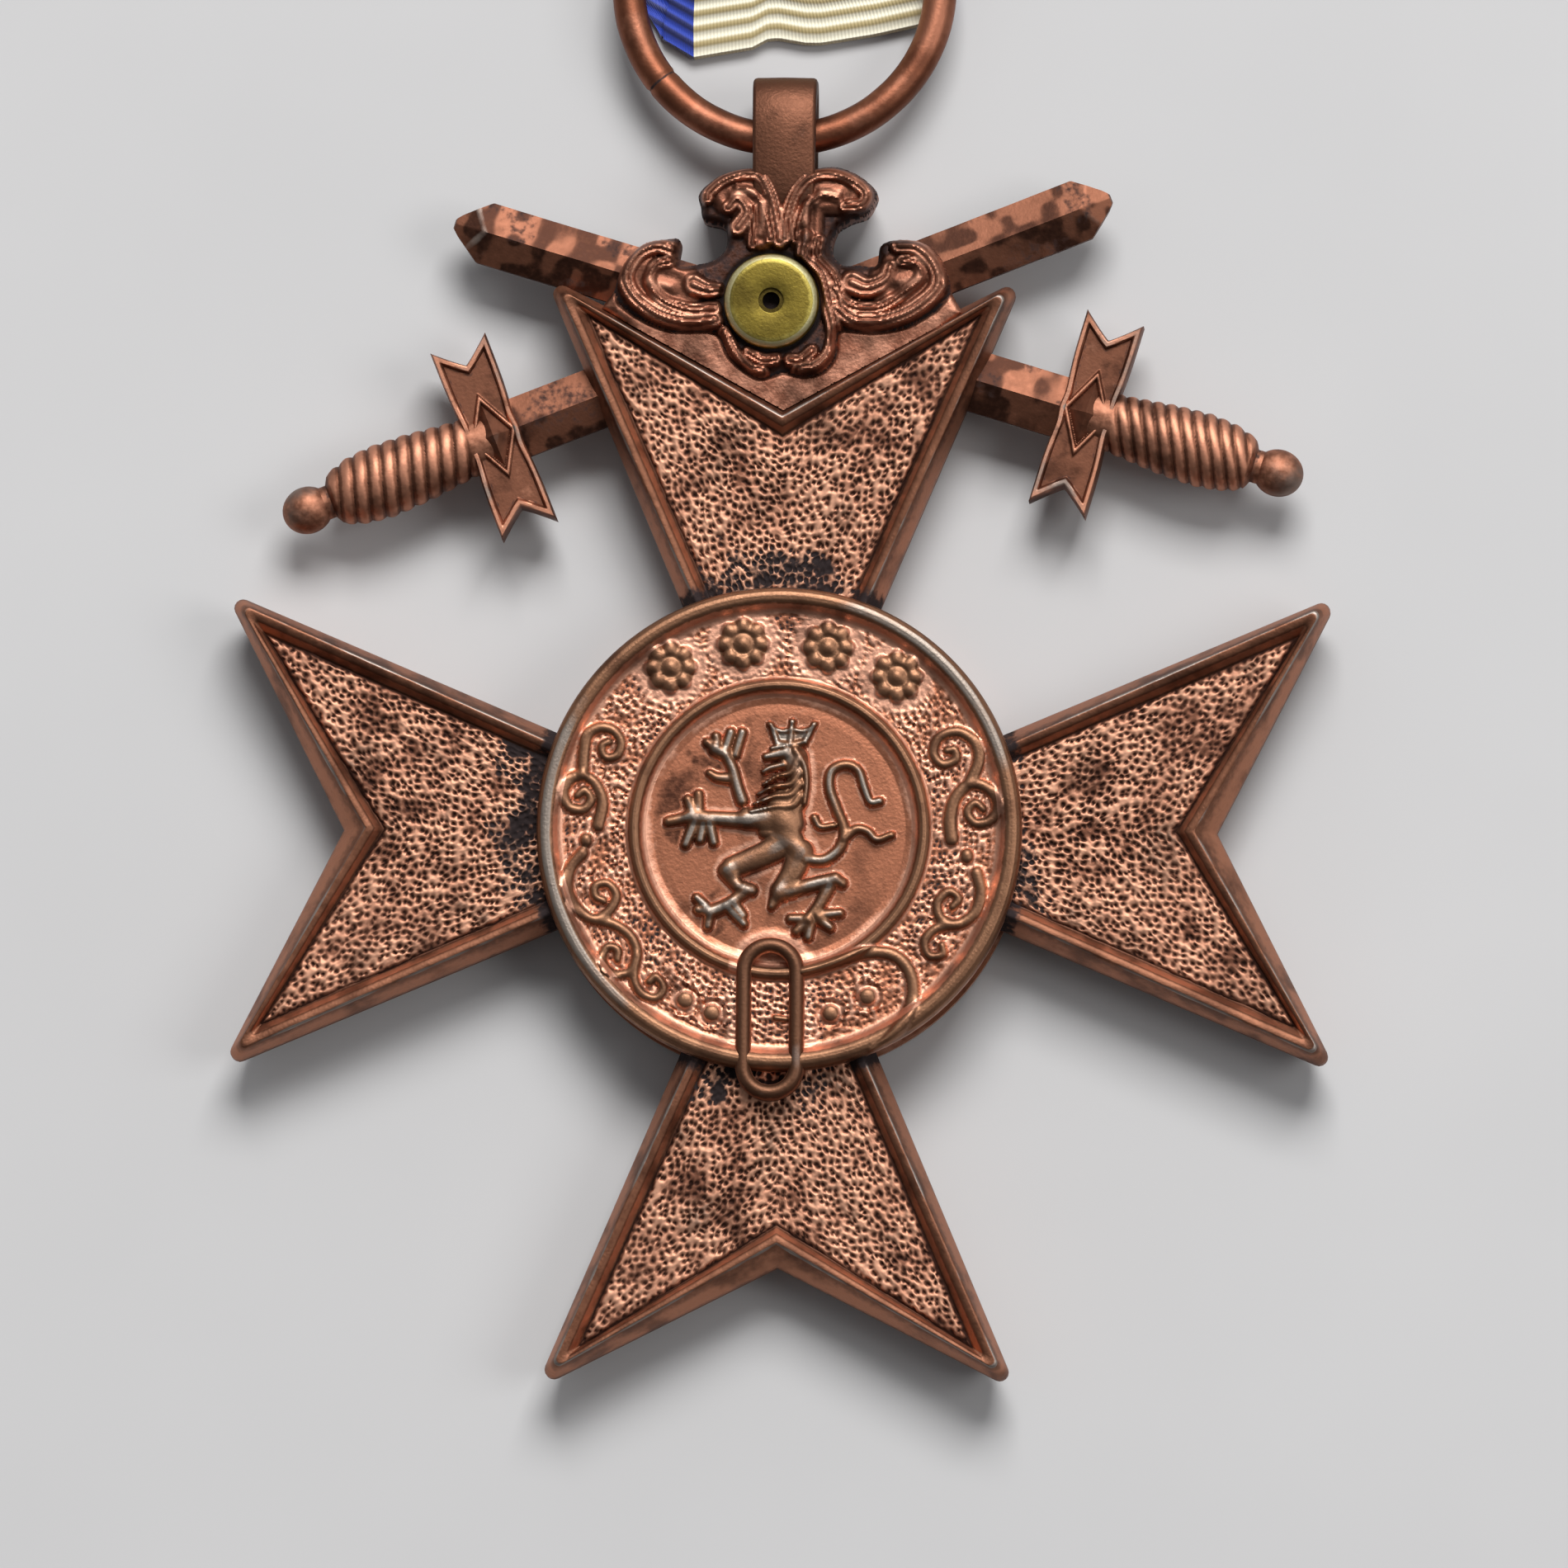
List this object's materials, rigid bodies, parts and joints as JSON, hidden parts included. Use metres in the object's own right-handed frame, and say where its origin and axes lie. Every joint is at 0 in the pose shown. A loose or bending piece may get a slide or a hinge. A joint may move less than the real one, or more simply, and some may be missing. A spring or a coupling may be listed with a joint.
{
  "type": "medal",
  "caption": "Bronze eight-pointed cross medal with a round medallion, crossed swords behind the upper arm, scroll bracket, ring and folded ribbon.",
  "frame": {"origin": "centre of the rear medallion's flat button, which is the face that the medal lies on", "axes": "+Z out of the medal's face, +Y from the centre of the cross towards the ring and ribbon, +X to the right"},
  "size_m": [0.043, 0.097, 0.004],
  "materials": {
    "bronze_cross": "struck bronze, dark patina worn to bare copper on the high places, stippled fields, half-bright",
    "bronze_medallion": "struck bronze, dark patina worn to bare copper on the high places, stippled belt and smooth centre, half-bright",
    "copper_pin": "drawn copper wire, dull",
    "bronze_sword": "struck bronze, dark patina worn to bare copper on the high places, half-bright",
    "bronze_bracket": "struck bronze, dark patina worn to bare copper on the high places, half-bright",
    "rivet_brass": "turned brass, tarnished, half-bright",
    "bronze_eye": "bronze worn to a silvery sheen, half-bright",
    "copper_ring": "drawn copper wire, red-brown, half-bright",
    "ribbon_cloth": "ribbed silk ribbon, cream with two blue edge stripes, soft sheen"
  },
  "bodies": {
    "medal": {"cross_front_half": "bronze_cross", "cross_rear_half": "bronze_cross", "front_medallion": "bronze_medallion", "rear_medallion": "bronze_medallion", "medallion_pins": "copper_pin", "left_sword": "bronze_sword", "right_sword": "bronze_sword", "front_scroll_bracket": "bronze_bracket", "rear_scroll_bracket": "bronze_bracket", "tube_rivet": "rivet_brass", "rivet_collar": "rivet_brass", "suspension_eye": "bronze_eye"},
    "ring": {"suspension_ring": "copper_ring", "ribbon_loop": "ribbon_cloth"},
    "ribbon": {"ribbon_tails": "ribbon_cloth"}
  },
  "joints": [
    {"name": "ring_swing", "type": "hinge", "parent": "medal", "child": "ring", "pos_m": [0, 0.0273, 0.00201], "axis": [1, 0, 0], "range_deg": [-110, 119]},
    {"name": "ribbon_bend", "type": "hinge", "parent": "ring", "child": "ribbon", "pos_m": [-0.0001, 0.04301, 0.0003], "axis": [-1, 0, 0], "range_deg": [-78, 78]}
  ]
}
